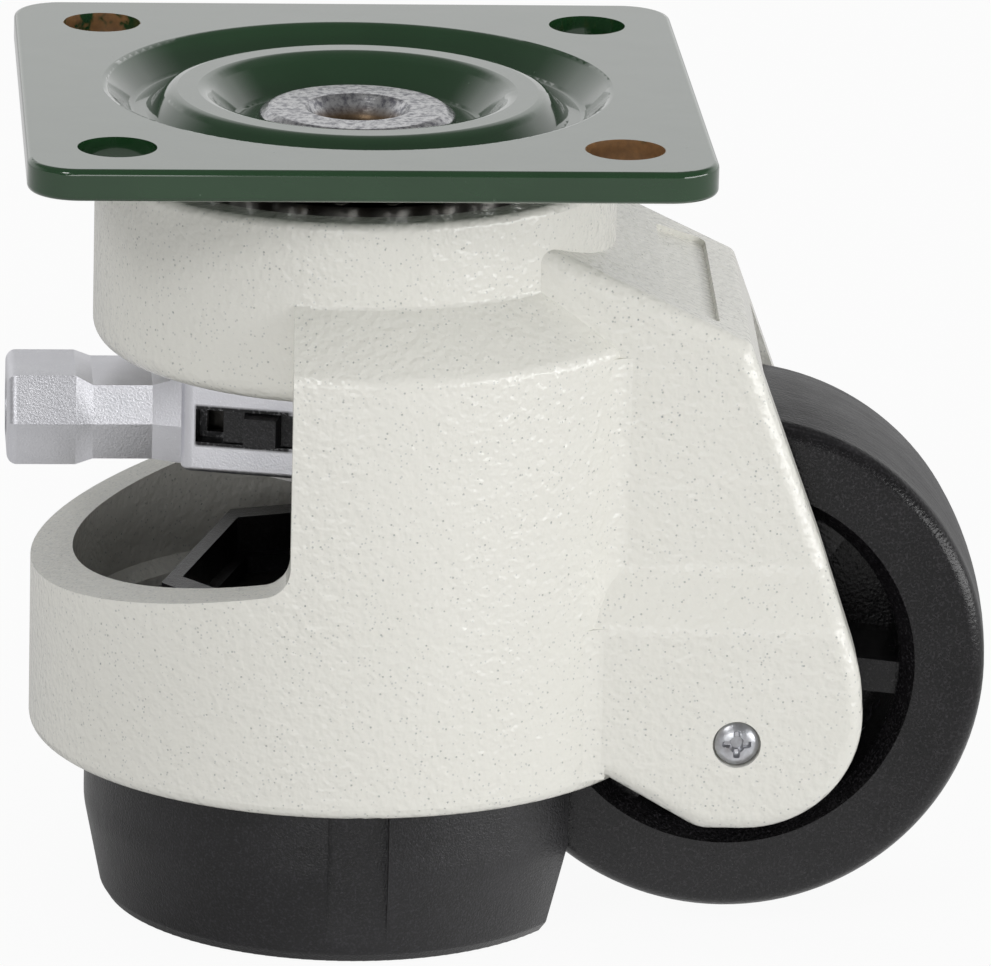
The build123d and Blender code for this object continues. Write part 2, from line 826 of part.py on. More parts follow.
with BuildPart() as ratchet_nut:
    with BuildSketch(level(teeth_top)):
        tooth_ring()
    extrude(amount=teeth_top - teeth_bottom)
    turned(
        (0, nut_top),
        (nut_journal, nut_top, broken_edge),
        (nut_journal, upper_clip),
        (nut_journal - clip_depth, upper_clip),
        (nut_journal - clip_depth, upper_clip + clip_thick),
        (nut_journal, upper_clip + clip_thick),
        (nut_journal, teeth_top + overrun),
        (nut_tail, teeth_top + overrun),
        (nut_tail, lower_clip),
        (nut_tail - clip_depth, lower_clip),
        (nut_tail - clip_depth, lower_clip + clip_thick),
        (nut_tail, lower_clip + clip_thick),
        (nut_tail, nut_bottom, fine_edge),
        (0, nut_bottom),
    )
    with BuildSketch(level(nut_top)):
        Circle(spindle_radius + slip)
    extrude(amount=nut_top - nut_bottom, mode=Mode.SUBTRACT)
write(ratchet_nut, "ratchet_nut", lever_turn)


def clip_ring(journal, top):
    """Open retaining ring seated in a groove of a journal."""
    with BuildSketch(level(top)) as ring:
        Circle(journal + clip_lip)
        Circle(journal - clip_depth, mode=Mode.SUBTRACT)
        with Locations((0, journal)):
            Rectangle(clip_opening, 2 * (clip_lip + clip_depth), mode=Mode.SUBTRACT)
    extrude(ring.sketch, amount=-clip_thick)


with BuildPart() as upper_nut_clip:
    clip_ring(nut_journal, upper_clip)
write(upper_nut_clip, "upper_nut_clip", lever_turn)

with BuildPart() as lower_nut_clip:
    clip_ring(nut_tail, lower_clip)
write(lower_nut_clip, "lower_nut_clip", lever_turn)

with BuildPart() as keeper_washer:
    turned(
        (nut_tail, keeper_top),
        (keeper_radius, keeper_top),
        (keeper_radius, keeper_top + keeper_thick),
        (nut_tail, keeper_top + keeper_thick),
    )
write(keeper_washer, "keeper_washer", lever_turn)

# ---- lever -----------------------------------------------------------------------------

taper_sin = math.sin(math.radians(lever_taper))
taper_cos = math.cos(math.radians(lever_taper))
mid_depth = (pawl_top + pawl_bottom) / 2


def side_at(x):
    """Half width of the lever's head at x."""
    return lever_ring / taper_cos + x * taper_sin / taper_cos


def hexagon(x, top, bottom, flat, ridge):
    """Section across the handle at x: flat top and bottom, one ridge along each side."""
    with BuildSketch(Plane.YZ.offset(x)) as section:
        outline(
            (-flat, -top),
            (flat, -top),
            (ridge, -ridge_depth),
            (flat, -bottom),
            (-flat, -bottom),
            (-ridge, -ridge_depth),
        )
    return section.sketch


nose_half = side_at(lever_nose)
side_middle = slot_start + slot_length / 2 * taper_cos
side_plane = Plane(
    origin=(side_middle, -side_at(side_middle), -(slot_top + slot_bottom) / 2),
    x_dir=(taper_cos, -taper_sin, 0),
    z_dir=(-taper_sin, -taper_cos, 0),
)
slot_height = slot_bottom - slot_top
finger_height = slot_height - 2 * slot_lip
finger_way = finger_height + 2 * face_gap

with BuildPart() as lever:
    with BuildSketch(level(lever_top)):
        Circle(lever_ring)
        outline(
            (-lever_ring * taper_sin, lever_ring * taper_cos),
            (lever_nose, nose_half, lever_nose_round),
            (lever_nose, -nose_half, lever_nose_round),
            (-lever_ring * taper_sin, -lever_ring * taper_cos),
        )
    extrude(amount=lever_top - lever_bottom)
    head_edges = lever.edges().filter_by(Axis.Z, reverse=True)
    fillet(head_edges, soft_edge)
    nose_section = (
        lever_top + nose_step,
        lever_bottom - nose_step,
        nose_half - nose_inset - overrun,
        nose_half - nose_inset,
    )
    sections = (
        (lever_nose + broken_edge, nose_section),
        (neck_start, neck_section),
        (neck_end, neck_section),
        (block_start, block_section),
        (block_end, block_section),
    )
    for (x_from, shape_from), (x_to, shape_to) in zip(sections, sections[1:]):
        loft([hexagon(x_from, *shape_from), hexagon(x_to, *shape_to)], ruled=True)
    fillet(lever.faces().sort_by(Axis.X)[0].edges(), lever_end_round)
    # Bore for the toothed nut, pocket for the pawl, and its pin hole
    with BuildSketch(level(lever_top)):
        Circle(tooth_tip + slip)
    extrude(amount=lever_top - lever_bottom, mode=Mode.SUBTRACT)
    with BuildSketch(level(pawl_top)):
        outline(
            (-tooth_root + overrun, pocket_half),
            (pocket_wide, pocket_half),
            (pocket_back, pocket_back_half),
            (pocket_back, -pocket_back_half),
            (pocket_wide, -pocket_half),
            (-tooth_root + overrun, -pocket_half),
        )
    extrude(amount=pawl_top - pawl_bottom, mode=Mode.SUBTRACT)
    with BuildSketch(level(lever_top)):
        with Locations((pawl_x, 0)):
            Circle(pawl_pin_radius)
    extrude(amount=lever_top - lever_bottom, mode=Mode.SUBTRACT)
    # Slot for the selector in the near side, with a way through to the pawl
    with BuildSketch(side_plane):
        Rectangle(slot_length, slot_height)
    extrude(amount=-slot_sink, mode=Mode.SUBTRACT)
    with BuildSketch(side_plane):
        with Locations((finger_at, 0)):
            Rectangle(finger_width + 2 * (selector_travel + fine_edge), finger_way)
    extrude(amount=-slot_sink - clear / 2, mode=Mode.SUBTRACT)
    # Spring bore behind the pawl and socket for an extension handle
    with BuildSketch(Plane.YZ.offset(pocket_back)):
        with Locations((0, -mid_depth)):
            Circle(detent_bore)
    extrude(amount=-detent_depth, mode=Mode.SUBTRACT)
    with BuildSketch(Plane.YZ.offset(block_end)):
        with Locations((0, -ridge_depth)):
            Circle(socket_radius)
    extrude(amount=socket_depth, mode=Mode.SUBTRACT)
write(lever, "lever", lever_turn)

with BuildPart() as pawl:
    with BuildSketch(level(mid_depth - pawl_thick / 2)):
        outline(
            (pawl_tip_x, pawl_tip_y, fine_edge),
            (pawl_shoulder_x, pawl_shoulder_y, soft_edge),
            (pawl_x, pawl_waist, pawl_waist_round),
            (pawl_back, pawl_back_half, soft_edge),
            (pawl_back, -pawl_back_half, soft_edge),
            (pawl_x, -pawl_waist, pawl_waist_round),
            (pawl_shoulder_x, -pawl_shoulder_y, soft_edge),
            (pawl_tip_x, -pawl_tip_y, fine_edge),
            (pawl_hollow, -pawl_back_half, soft_edge),
            (pawl_hollow, pawl_back_half, soft_edge),
        )
        with Locations((pawl_x, 0)):
            Circle(pawl_pin_radius + slip, mode=Mode.SUBTRACT)
    extrude(amount=-pawl_thick)
write(pawl, "pawl", lever_turn)

with BuildPart() as pawl_pin:
    with BuildSketch(level(lever_top + pin_sink)):
        with Locations((pawl_x, 0)):
            Circle(pawl_pin_radius)
    extrude(amount=lever_top - lever_bottom + 2 * pin_sink)
write(pawl_pin, "pawl_pin", lever_turn)

with BuildPart() as selector:
    bar_top = slot_sink - 2 * face_gap - selector_thick
    with BuildSketch(side_plane.offset(-bar_top)):
        Rectangle(selector_length, slot_height - 2 * face_gap)
    extrude(amount=-selector_thick)
    with BuildSketch(side_plane.offset(-bar_top)):
        Rectangle(knob_width, slot_height - 2 * face_gap)
    extrude(amount=knob_height, taper=6)
    with BuildSketch(side_plane.offset(-bar_top - selector_thick)):
        with Locations((finger_at, 0)):
            Rectangle(finger_width, finger_height)
    extrude(amount=-finger_length)
write(selector, "selector", lever_turn)

ball_back = pawl_back - free_gap - 2 * detent_ball_radius
with BuildPart() as detent_ball:
    with Locations((ball_back + detent_ball_radius, 0, -mid_depth)):
        Sphere(detent_ball_radius)
write(detent_ball, "detent_ball", lever_turn)

spring_start = ball_back - detent_wire / 2 - face_gap
with BuildPart() as detent_spring:
    with BuildLine() as coil:
        Helix(spring_length / detent_turns, spring_length, coil_radius,
              center=(spring_start, 0, -mid_depth), direction=(-1, 0, 0))
    with BuildSketch(Plane(origin=coil.line @ 0, z_dir=coil.line % 0)):
        Circle(detent_wire / 2)
    sweep(path=coil.line, is_frenet=True)
write(detent_spring, "detent_spring", lever_turn)

# ---- spindle and foot ------------------------------------------------------------------

with BuildPart() as spindle:
    turned(
        (0, spindle_top),
        (spindle_radius - spindle_lead, spindle_top),
        (spindle_radius, spindle_top + spindle_lead),
        (spindle_radius, collar_top),
        (spindle_collar, collar_top, broken_edge),
        (spindle_collar, collar_top + collar_thick),
        (tenon_radius, collar_top + collar_thick),
        (tenon_radius, tenon_end, soft_edge),
        (bolt_radius, tenon_end),
        (bolt_radius, bolt_end - overrun),
        (0, bolt_end - overrun - bolt_radius / 2),
    )
write(spindle, "spindle", fork_turn)


def tower_shape(side_wall, end_wall):
    """Long hexagon, drawn inside the tower's outline by the given walls."""
    half = tower_half - side_wall
    apex = tower_apex - end_wall / math.cos(math.radians(tower_lean))
    corner = apex - half * math.tan(math.radians(tower_lean))
    Polygon(
        (half, corner), (0, apex), (-half, corner), (-half, -corner), (0, -apex), (half, -corner),
        rotation=tower_turn,
    )


def left_of(x):
    """Keep what lies on the window side of x."""
    with Locations((x - cup_radius, 0)):
        Rectangle(2 * cup_radius, 2 * cup_radius, mode=Mode.INTERSECT)


well_walls = (tower_side_wall + tower_ledge, tower_end_wall + tower_ledge)
insert_top = collar_top + collar_thick

with BuildPart() as foot_insert:
    with BuildSketch(level(insert_top)):
        tower_shape(*well_walls)
        left_of(insert_flat)
        Circle(tenon_radius, mode=Mode.SUBTRACT)
    extrude(amount=-insert_thick)
write(foot_insert, "foot_insert", fork_turn)

with BuildPart() as foot:
    turned(
        (0, foot_deck),
        (foot_radius, foot_deck, foot_round),
        (foot_radius, foot_taper_from, foot_bend),
        (foot_sole, foot_bottom - sole_edge, foot_round),
        (foot_sole - sole_bevel, foot_bottom, sole_round),
        (0, foot_bottom),
    )
    with BuildSketch(level(tower_top)):
        tower_shape(0, 0)
    extrude(amount=tower_top - foot_deck - broken_edge)
    with BuildSketch(level(tower_top)):
        tower_shape(tower_side_wall, tower_end_wall)
        left_of(insert_flat)
    extrude(amount=tower_top - tower_floor, mode=Mode.SUBTRACT)
    with BuildSketch(level(tower_top)):
        tower_shape(*well_walls)
        left_of(insert_flat)
    extrude(amount=tower_top - insert_top - insert_thick, mode=Mode.SUBTRACT)
    with BuildSketch(level(tower_top)):
        Circle(spindle_collar + free_gap)
    extrude(amount=tower_top - insert_top, mode=Mode.SUBTRACT)
    with BuildSketch(level(tower_top)):
        Circle(tenon_radius)
    extrude(amount=tower_top - foot_bottom, mode=Mode.SUBTRACT)
    with BuildSketch(level(foot_bottom)):
        Circle(bolt_sink)
    extrude(amount=bolt_sink_depth, mode=Mode.SUBTRACT)
    with BuildSketch(level(tower_top)):
        with Locations((notch_x + cup_radius, 0)):
            RectangleRounded(2 * cup_radius, 2 * notch_half, notch_round)
    extrude(amount=tower_top - foot_bottom, mode=Mode.SUBTRACT)
    with BuildSketch(level(foot_deck)):
        with PolarLocations(foot_radius + clear, 2, start_angle=key_angle):
            Rectangle(2 * (key_height + clear), key_width + 2 * key_gap)
    extrude(amount=foot_deck - foot_bottom, mode=Mode.SUBTRACT)
write(foot, "foot", fork_turn)

with BuildPart() as bolt_washer:
    turned(
        (bolt_radius, bolt_seat),
        (bolt_washer_radius, bolt_seat),
        (bolt_washer_radius, bolt_seat + bolt_washer_thick, 0.3),
        (bolt_radius, bolt_seat + bolt_washer_thick),
    )
write(bolt_washer, "foot_bolt_washer", fork_turn)

with BuildPart() as foot_bolt:
    head_seat = bolt_seat + bolt_washer_thick
    turned(
        (0, head_seat - bolt_length),
        (bolt_radius - 0.8, head_seat - bolt_length),
        (bolt_radius, head_seat - bolt_length + 0.8),
        (bolt_radius, head_seat),
        (bolt_head_radius, head_seat),
        (bolt_head_radius, head_seat + bolt_head_height, 0.6),
        (0, head_seat + bolt_head_height),
    )
    with BuildSketch(level(head_seat + bolt_head_height)):
        RegularPolygon(bolt_hex / 2, 6, major_radius=False)
    extrude(amount=4.0, mode=Mode.SUBTRACT)
write(foot_bolt, "foot_bolt", fork_turn)
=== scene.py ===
"""Levelling castor: paint, cast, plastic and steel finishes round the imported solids.

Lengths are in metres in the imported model's frame; inside the materials, places are in
millimetres.  The swivel axis is Z, the plate's top face is at zero and the wheel is at +X.
"""
import json
import math

import bpy
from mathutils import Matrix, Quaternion, Vector, noise


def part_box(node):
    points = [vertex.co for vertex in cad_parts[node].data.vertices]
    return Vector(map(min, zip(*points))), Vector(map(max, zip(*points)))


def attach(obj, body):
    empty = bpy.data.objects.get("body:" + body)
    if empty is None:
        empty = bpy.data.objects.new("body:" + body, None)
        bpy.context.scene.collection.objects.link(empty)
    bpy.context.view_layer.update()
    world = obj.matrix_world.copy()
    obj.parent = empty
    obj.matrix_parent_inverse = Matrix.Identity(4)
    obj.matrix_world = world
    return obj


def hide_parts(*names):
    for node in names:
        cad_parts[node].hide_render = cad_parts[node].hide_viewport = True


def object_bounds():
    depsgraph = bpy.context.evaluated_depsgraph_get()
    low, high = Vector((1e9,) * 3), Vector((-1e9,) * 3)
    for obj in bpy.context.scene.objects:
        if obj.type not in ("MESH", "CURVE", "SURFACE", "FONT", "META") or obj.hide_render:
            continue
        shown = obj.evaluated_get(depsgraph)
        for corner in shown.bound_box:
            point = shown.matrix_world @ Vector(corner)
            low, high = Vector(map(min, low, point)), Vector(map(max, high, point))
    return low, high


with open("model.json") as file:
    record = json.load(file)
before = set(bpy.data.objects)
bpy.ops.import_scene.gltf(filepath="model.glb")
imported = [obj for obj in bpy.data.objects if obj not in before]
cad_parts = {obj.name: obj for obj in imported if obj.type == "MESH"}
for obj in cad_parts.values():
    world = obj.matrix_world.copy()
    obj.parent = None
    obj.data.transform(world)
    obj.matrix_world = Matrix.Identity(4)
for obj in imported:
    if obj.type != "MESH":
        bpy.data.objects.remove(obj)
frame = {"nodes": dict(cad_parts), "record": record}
cad_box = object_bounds()

MM = 0.001


# ---- shader expressions ----------------------------------------------------------------

class Value:
    """A number coming out of a node; arithmetic on it adds Math nodes."""

    def __init__(self, finish, socket):
        self.finish = finish
        self.socket = socket

    def math(self, operation, first, second=0.0):
        return self.finish.node("ShaderNodeMath", {"operation": operation}, {0: first, 1: second})

    def __add__(self, other):
        return self.math("ADD", self, other)

    def __radd__(self, other):
        return self.math("ADD", other, self)

    def __sub__(self, other):
        return self.math("SUBTRACT", self, other)

    def __rsub__(self, other):
        return self.math("SUBTRACT", other, self)

    def __mul__(self, other):
        return self.math("MULTIPLY", self, other)

    def __rmul__(self, other):
        return self.math("MULTIPLY", other, self)

    def __pow__(self, other):
        return self.math("POWER", self, other)


class Tree:
    """A node tree that expressions add their nodes to."""

    def __init__(self, tree):
        self.tree = tree
        tree.nodes.clear()

    def node(self, kind, settings=None, inputs=None, output=0):
        made = self.tree.nodes.new(kind)
        for key, value in (settings or {}).items():
            if key == "stops":
                while len(made.color_ramp.elements) < len(value):
                    made.color_ramp.elements.new(1.0)
                for element, (place, level) in zip(made.color_ramp.elements, value):
                    element.position = place
                    element.color = (level, level, level, 1.0)
            else:
                setattr(made, key, value)
        for key, value in (inputs or {}).items():
            self.feed(made.inputs[key], value)
        return Value(self, made.outputs[output])

    def feed(self, socket, value):
        if isinstance(value, Value):
            self.tree.links.new(value.socket, socket)
        elif socket.type == "RGBA" and len(value) == 3:
            socket.default_value = (*value, 1.0)
        else:
            socket.default_value = value

    def ramp(self, value, low, high):
        """0 at low and 1 at high, held beyond them; low may be the larger one."""
        return self.node(
            "ShaderNodeMapRange", {"clamp": True},
            {"Value": value, "From Min": low, "From Max": high, "To Min": 0.0, "To Max": 1.0},
        )

    def rays(self, *kinds):
        """1 for rays of the given kinds, such as Is Camera Ray, and 0 for the rest."""
        path = self.tree.nodes.new("ShaderNodeLightPath")
        found = Value(self, path.outputs[kinds[0]])
        for kind in kinds[1:]:
            found = found.math("MAXIMUM", found, Value(self, path.outputs[kind]))
        return found


class Finish(Tree):
    """One material, with a single Principled shader."""

    # a colour Mix node shares its sockets' names with its other data types
    MIX_SHARE, MIX_FIRST, MIX_SECOND, MIX_COLOUR = 0, 6, 7, 2
    SPECK_EDGE = 0.55
    SPECK_CHOICE = 0.02

    def __init__(self, name, colour, roughness, metallic=0.0, **fixed):
        self.material = bpy.data.materials.new(name)
        self.material.use_nodes = True
        super().__init__(self.material.node_tree)
        self.shader = self.tree.nodes.new("ShaderNodeBsdfPrincipled")
        self.output = self.tree.nodes.new("ShaderNodeOutputMaterial")
        self.tree.links.new(self.shader.outputs[0], self.output.inputs["Surface"])
        self.set("Base Color", colour)
        self.set("Roughness", roughness)
        self.set("Metallic", metallic)
        for key, value in fixed.items():
            self.set(key.replace("_", " "), value)
        self.material.diffuse_color = (*colour, 1.0)

    def set(self, name, value):
        self.feed(self.shader.inputs[name], value)

    # what the finishes are made of

    def place(self, stretch=(1.0, 1.0, 1.0)):
        """Position in the model's frame in millimetres, optionally stretched."""
        spot = self.node("ShaderNodeTexCoord", output="Object")
        scale = tuple(share / MM for share in stretch)
        return self.node("ShaderNodeVectorMath", {"operation": "MULTIPLY"}, {0: spot, 1: scale})

    def along(self, axis):
        """One coordinate of the position, in millimetres."""
        return self.node("ShaderNodeSeparateXYZ", None, {0: self.place()}, axis)

    def spread(self, size, detail=2.0, rough=0.5, stretch=(1.0, 1.0, 1.0)):
        """Noise whose lumps are about the given size in millimetres, from 0 to 1."""
        return self.node(
            "ShaderNodeTexNoise", None,
            {"Vector": self.place(stretch), "Scale": 1.0 / size, "Detail": detail,
             "Roughness": rough},
        )

    def dots(self, cell, reach, share):
        """Small round specks, one or none in each cell: 1 inside a speck, 0 outside."""
        spots = self.tree.nodes.new("ShaderNodeTexVoronoi")
        self.feed(spots.inputs["Vector"], self.place())
        self.feed(spots.inputs["Scale"], 1.0 / cell)
        near = self.ramp(Value(self, spots.outputs["Distance"]), reach, reach * self.SPECK_EDGE)
        pick = self.node("ShaderNodeSeparateColor", None, {0: Value(self, spots.outputs["Color"])})
        return near * self.ramp(pick, 1.0 - share, 1.0 - share + self.SPECK_CHOICE)

    def tint(self, share, first, second):
        """Colour between two others, by a share from 0 to 1."""
        return self.node(
            "ShaderNodeMix", {"data_type": "RGBA"},
            {self.MIX_SHARE: share, self.MIX_FIRST: first, self.MIX_SECOND: second},
            self.MIX_COLOUR,
        )

    def radius(self, middle=(0.0, 0.0), axes="XY"):
        """Distance from an axis through a point, in millimetres; upright by default."""
        first, second = (self.along(axis) - start for axis, start in zip(axes, middle))
        return (first * first + second * second) ** 0.5

    def turned(self, out, per_mm):
        """Fine rings of uneven depth at a distance from an axis, as a turning tool leaves."""
        return self.node(
            "ShaderNodeTexNoise", {"noise_dimensions": "1D"},
            {"W": out * per_mm, "Scale": 1.0, "Detail": 3.0},
        )

    def facing(self, axis):
        """How far the surface faces along an axis, from -1 to 1."""
        normal = self.node("ShaderNodeNewGeometry", output="Normal")
        return self.node("ShaderNodeSeparateXYZ", None, {0: normal}, axis)

    def nylon_grain(self):
        """Pale glass fibres at the skin of a black plastic, from 0 to 1."""
        return self.ramp(self.spread(0.36, 2.0, 0.6), 0.50, 0.72)

    def relief(self, height, depth):
        """Bump of the given depth in millimetres from a height between 0 and 1."""
        self.set("Normal", self.node(
            "ShaderNodeBump", None,
            {"Strength": 1.0, "Distance": depth * MM, "Height": height},
        ))


# ---- finishes --------------------------------------------------------------------------

def ivory_coat():
    """Powder coat on the casting: soft orange peel with fine grey specks.

    The cup's cut rim, which faces up below rim_height, is filed and coated thinly.
    """
    rim_height, rim_blend = -54.0, 2.0
    light, dark = (0.815, 0.805, 0.75), (0.785, 0.775, 0.715)
    thinned, speck = (0.68, 0.68, 0.65), (0.33, 0.35, 0.36)
    finish = Finish("ivory_coat", (0.80, 0.79, 0.735), 0.28, Specular_IOR_Level=0.6)
    peel = finish.spread(size=1.1, detail=1.5, rough=0.45)
    creep = finish.spread(size=2.8, detail=2.0, rough=0.5)
    faint = finish.dots(cell=0.75, reach=0.25, share=0.6)
    specks = finish.dots(cell=1.2, reach=0.15, share=0.5)
    filed = (finish.ramp(finish.facing("Z"), 0.45, 0.75)
             * finish.ramp(finish.along("Z"), rim_height, rim_height - rim_blend))
    scratch = finish.spread(size=0.55, detail=4.0, rough=0.7, stretch=(1.0, 2.2, 1.0))
    tone = finish.tint(finish.spread(size=18.0, detail=2.0), light, dark)
    thin = finish.tint(finish.ramp(scratch, 0.62, 0.40) * filed, tone, thinned)
    share = faint * 0.40 + specks * 0.52
    finish.set("Base Color", finish.tint(share, thin, speck))
    finish.set("Roughness", 0.18 + peel * 0.10 + filed * 0.3)
    finish.relief(peel * 0.6 + creep * 0.4 - specks * 0.2 + filed * scratch * 0.3, depth=0.38)
    return finish.material


def green_paint(holes, hole_radius):
    """Glossy enamel on the pressed plate, worn to rust in some of its bolt holes.

    Each hole is its middle and the share of its wall that is bare.
    """
    deep_green, light_green = (0.008, 0.038, 0.011), (0.014, 0.052, 0.018)
    dust_green = (0.10, 0.16, 0.11)
    rust_brown, rust_dark = (0.30, 0.15, 0.05), (0.09, 0.045, 0.02)
    wall_in, wall_out = 0.04, 0.12
    no_rust, rust_span, rust_edge = 0.72, 0.44, 0.08
    finish = Finish("green_paint", (0.010, 0.044, 0.013), 0.16, Coat_Weight=1.0,
                    Coat_Roughness=0.05, Specular_IOR_Level=0.35)
    sag = finish.spread(size=9.0, detail=2.0, rough=0.4)
    dust = finish.dots(cell=3.4, reach=0.07, share=0.5)
    shade = finish.tint(sag, deep_green, light_green)
    flakes = finish.spread(size=4.0, detail=3.0, rough=0.6)
    rust = 0.0
    for middle, share in holes:
        wall = finish.ramp(finish.radius(middle), hole_radius + wall_out, hole_radius + wall_in)
        start = no_rust - rust_span * share
        rust = wall * finish.ramp(flakes, start, start + rust_edge) + rust
    stain = finish.tint(finish.spread(size=1.1, detail=3.0, rough=0.6), rust_brown, rust_dark)
    worn = finish.tint(rust, shade, stain)
    finish.set("Base Color", finish.tint(dust * 0.35, worn, dust_green))
    finish.set("Coat Weight", 1.0 - rust * 0.9)
    finish.set("Roughness", 0.14 + rust * 0.4 + dust * 0.2)
    finish.relief(sag * 0.9 + dust * 0.1, depth=0.05)
    return finish.material


def zinc_plate(name, tone=0.56, warm=0.0, rings=False, grain=0.35):
    """Zinc-plated steel, lightly mottled; rings adds the marks of spinning or turning."""
    finish = Finish(name, (tone, tone, tone), 0.3, metallic=1.0)
    mottle = finish.spread(size=2.6, detail=4.0, rough=0.6)
    fine = finish.spread(size=grain, detail=2.0, rough=0.5)
    light = (tone * (1.0 + 0.1 * warm), tone * 0.99, tone * (0.98 - 0.2 * warm))
    dark = (tone * 0.62, tone * (0.60 - 0.03 * warm), tone * (0.58 - 0.16 * warm))
    finish.set("Base Color", finish.tint(finish.ramp(mottle, 0.35, 0.68), light, dark))
    finish.set("Roughness", 0.20 + mottle * 0.24)
    if rings:
        marks = finish.turned(finish.radius(), per_mm=2.4)
        finish.relief(marks * 0.7 + fine * 0.3, depth=0.035)
    else:
        finish.relief(fine, depth=0.02)
    return finish.material


def kingpin_steel(bore):
    """Zinc-plated rivet with a brown, oily bore."""
    bright, dull = (0.66, 0.66, 0.67), (0.24, 0.24, 0.27)
    recess_light, recess_dark = (0.34, 0.24, 0.15), (0.12, 0.08, 0.05)
    oil_start, oil_full = 1.2, 0.2
    finish = Finish("kingpin_steel", (0.55, 0.55, 0.54), 0.26, metallic=1.0)
    mottle = finish.spread(size=1.1, detail=4.0, rough=0.65)
    marks = finish.turned(finish.radius(), per_mm=1.9)
    clean = finish.tint(finish.ramp(mottle, 0.44, 0.62), bright, dull)
    inside = finish.ramp(finish.radius(), bore + oil_start, bore + oil_full)
    brown = finish.tint(mottle, recess_light, recess_dark)
    finish.set("Base Color", finish.tint(inside, clean, brown))
    finish.set("Roughness", 0.22 + mottle * 0.16 + inside * 0.15)
    finish.relief(marks * 0.4 + mottle * 0.6, depth=0.07)
    return finish.material


def ball_steel():
    """Polished bearing steel under a film of grease."""
    polished, greasy = (0.80, 0.80, 0.78), (0.16, 0.14, 0.11)
    finish = Finish("ball_steel", (0.66, 0.66, 0.65), 0.10, metallic=1.0)
    film = finish.spread(size=2.2, detail=3.0, rough=0.6)
    blotches = finish.ramp(film, 0.54, 0.66)
    finish.set("Base Color", finish.tint(blotches, polished, greasy))
    finish.set("Roughness", 0.08 + blotches * 0.16)
    finish.relief(film, depth=0.05)
    return finish.material


def grease():
    """Dark bearing grease."""
    dark, light = (0.014, 0.012, 0.010), (0.05, 0.042, 0.032)
    finish = Finish("grease", (0.022, 0.019, 0.015), 0.22, Coat_Weight=0.6, Coat_Roughness=0.1)
    lumps = finish.spread(size=0.9, detail=3.0, rough=0.6)
    finish.set("Base Color", finish.tint(lumps, dark, light))
    finish.relief(lumps, depth=0.25)
    return finish.material


def cast_silver(slot_low, slot_high):
    """The lever's satin casting: fine blasted grain under bright plating.

    Behind the mouth of the selector's slot the metal is painted dark, as painted shade in the
    slot.
    """
    light, dark, sparkle = (0.86, 0.86, 0.90), (0.72, 0.72, 0.76), (0.96, 0.96, 1.0)
    recess_dark, recess_light = (0.035, 0.035, 0.036), (0.16, 0.16, 0.165)
    edge = 0.4
    finish = Finish("cast_silver", (0.80, 0.80, 0.84), 0.34, metallic=1.0)
    grain = finish.spread(size=0.30, detail=2.0, rough=0.6)
    cloud = finish.spread(size=5.0, detail=3.0, rough=0.55)
    glint = finish.dots(cell=0.6, reach=0.22, share=0.4)
    tone = finish.tint(cloud, light, dark)
    bright = finish.tint(glint * 0.5, tone, sparkle)
    # 1 inside the box of the selector's slot, where the lever is painted dark as shade
    slot_shade_mask = None
    for axis, low, high in zip("XYZ", slot_low, slot_high):
        past = (finish.ramp(finish.along(axis), low - edge, low)
                * finish.ramp(finish.along(axis), high + edge, high))
        slot_shade_mask = past if slot_shade_mask is None else slot_shade_mask * past
    # painted shade in the slot: near-black, blotched by noise
    blotches = finish.ramp(finish.spread(size=0.5, detail=3.0, rough=0.6), 0.52, 0.66)
    slot_shade = finish.tint(blotches, recess_dark, recess_light)
    finish.set("Base Color", finish.tint(slot_shade_mask, bright, slot_shade))
    finish.set("Roughness", 0.30 + grain * 0.2)
    finish.relief(grain * 0.7 + cloud * 0.3, depth=0.055)
    return finish.material


def wheel_nylon(axis_place):
    """Black nylon of the wheel: moulded satin, with rolling scuffs round the tread."""
    face_edge, tread_edge = 35.0, 36.4
    black, cloudy, pale = (0.003, 0.0028, 0.0033), (0.007, 0.0066, 0.0075), (0.050, 0.047, 0.052)
    finish = Finish("wheel_nylon", (0.010, 0.0095, 0.011), 0.25, Specular_IOR_Level=0.42)
    out = finish.radius(axis_place, "XZ")
    skin = finish.spread(size=0.5, detail=2.0, rough=0.5)
    cloud = finish.spread(size=6.0, detail=4.0, rough=0.6)
    streak = finish.spread(size=1 / 2.2, detail=3.0, rough=0.6, stretch=(0.06, 1.0, 0.06))
    tread = finish.ramp(out, face_edge, tread_edge)
    marks = finish.turned(out, per_mm=1.6)
    dust = finish.ramp(streak, 0.45, 0.70) * tread
    body = finish.tint(finish.ramp(cloud, 0.3, 0.75), black, cloudy)
    grain = finish.nylon_grain()
    finish.set("Base Color", finish.tint(grain * 0.5 + dust * 0.4, body, pale))
    finish.set("Roughness", 0.18 + cloud * 0.14 + tread * 0.12 + dust * 0.12)
    finish.relief(skin * 0.5 + streak * tread * 0.3 + marks * (1.0 - tread) * 0.2, depth=0.16)
    return finish.material


def foot_nylon(name, low, high, rough, gloss):
    """Glass-filled nylon with a cloudy, grained skin, slightly scuffed."""
    pale_times = 5.0
    finish = Finish(name, low, rough, Specular_IOR_Level=gloss)
    cloud = finish.spread(size=7.0, detail=5.0, rough=0.65)
    skin = finish.spread(size=0.30, detail=2.0, rough=0.55)
    scuff = finish.spread(size=2.4, detail=3.0, rough=0.6, stretch=(1.0, 1.0, 0.5))
    worn = finish.ramp(scuff, 0.58, 0.78)
    grain = finish.nylon_grain()
    tone = finish.tint(finish.ramp(cloud, 0.3, 0.72), low, high)
    pale = tuple(pale_times * part for part in high)
    finish.set("Base Color", finish.tint(worn * 0.15 + grain * 0.5, tone, pale))
    finish.set("Roughness", rough - 0.08 + cloud * 0.18 + worn * 0.06)
    finish.relief(skin * 0.6 + scuff * 0.4, depth=0.15)
    return finish.material


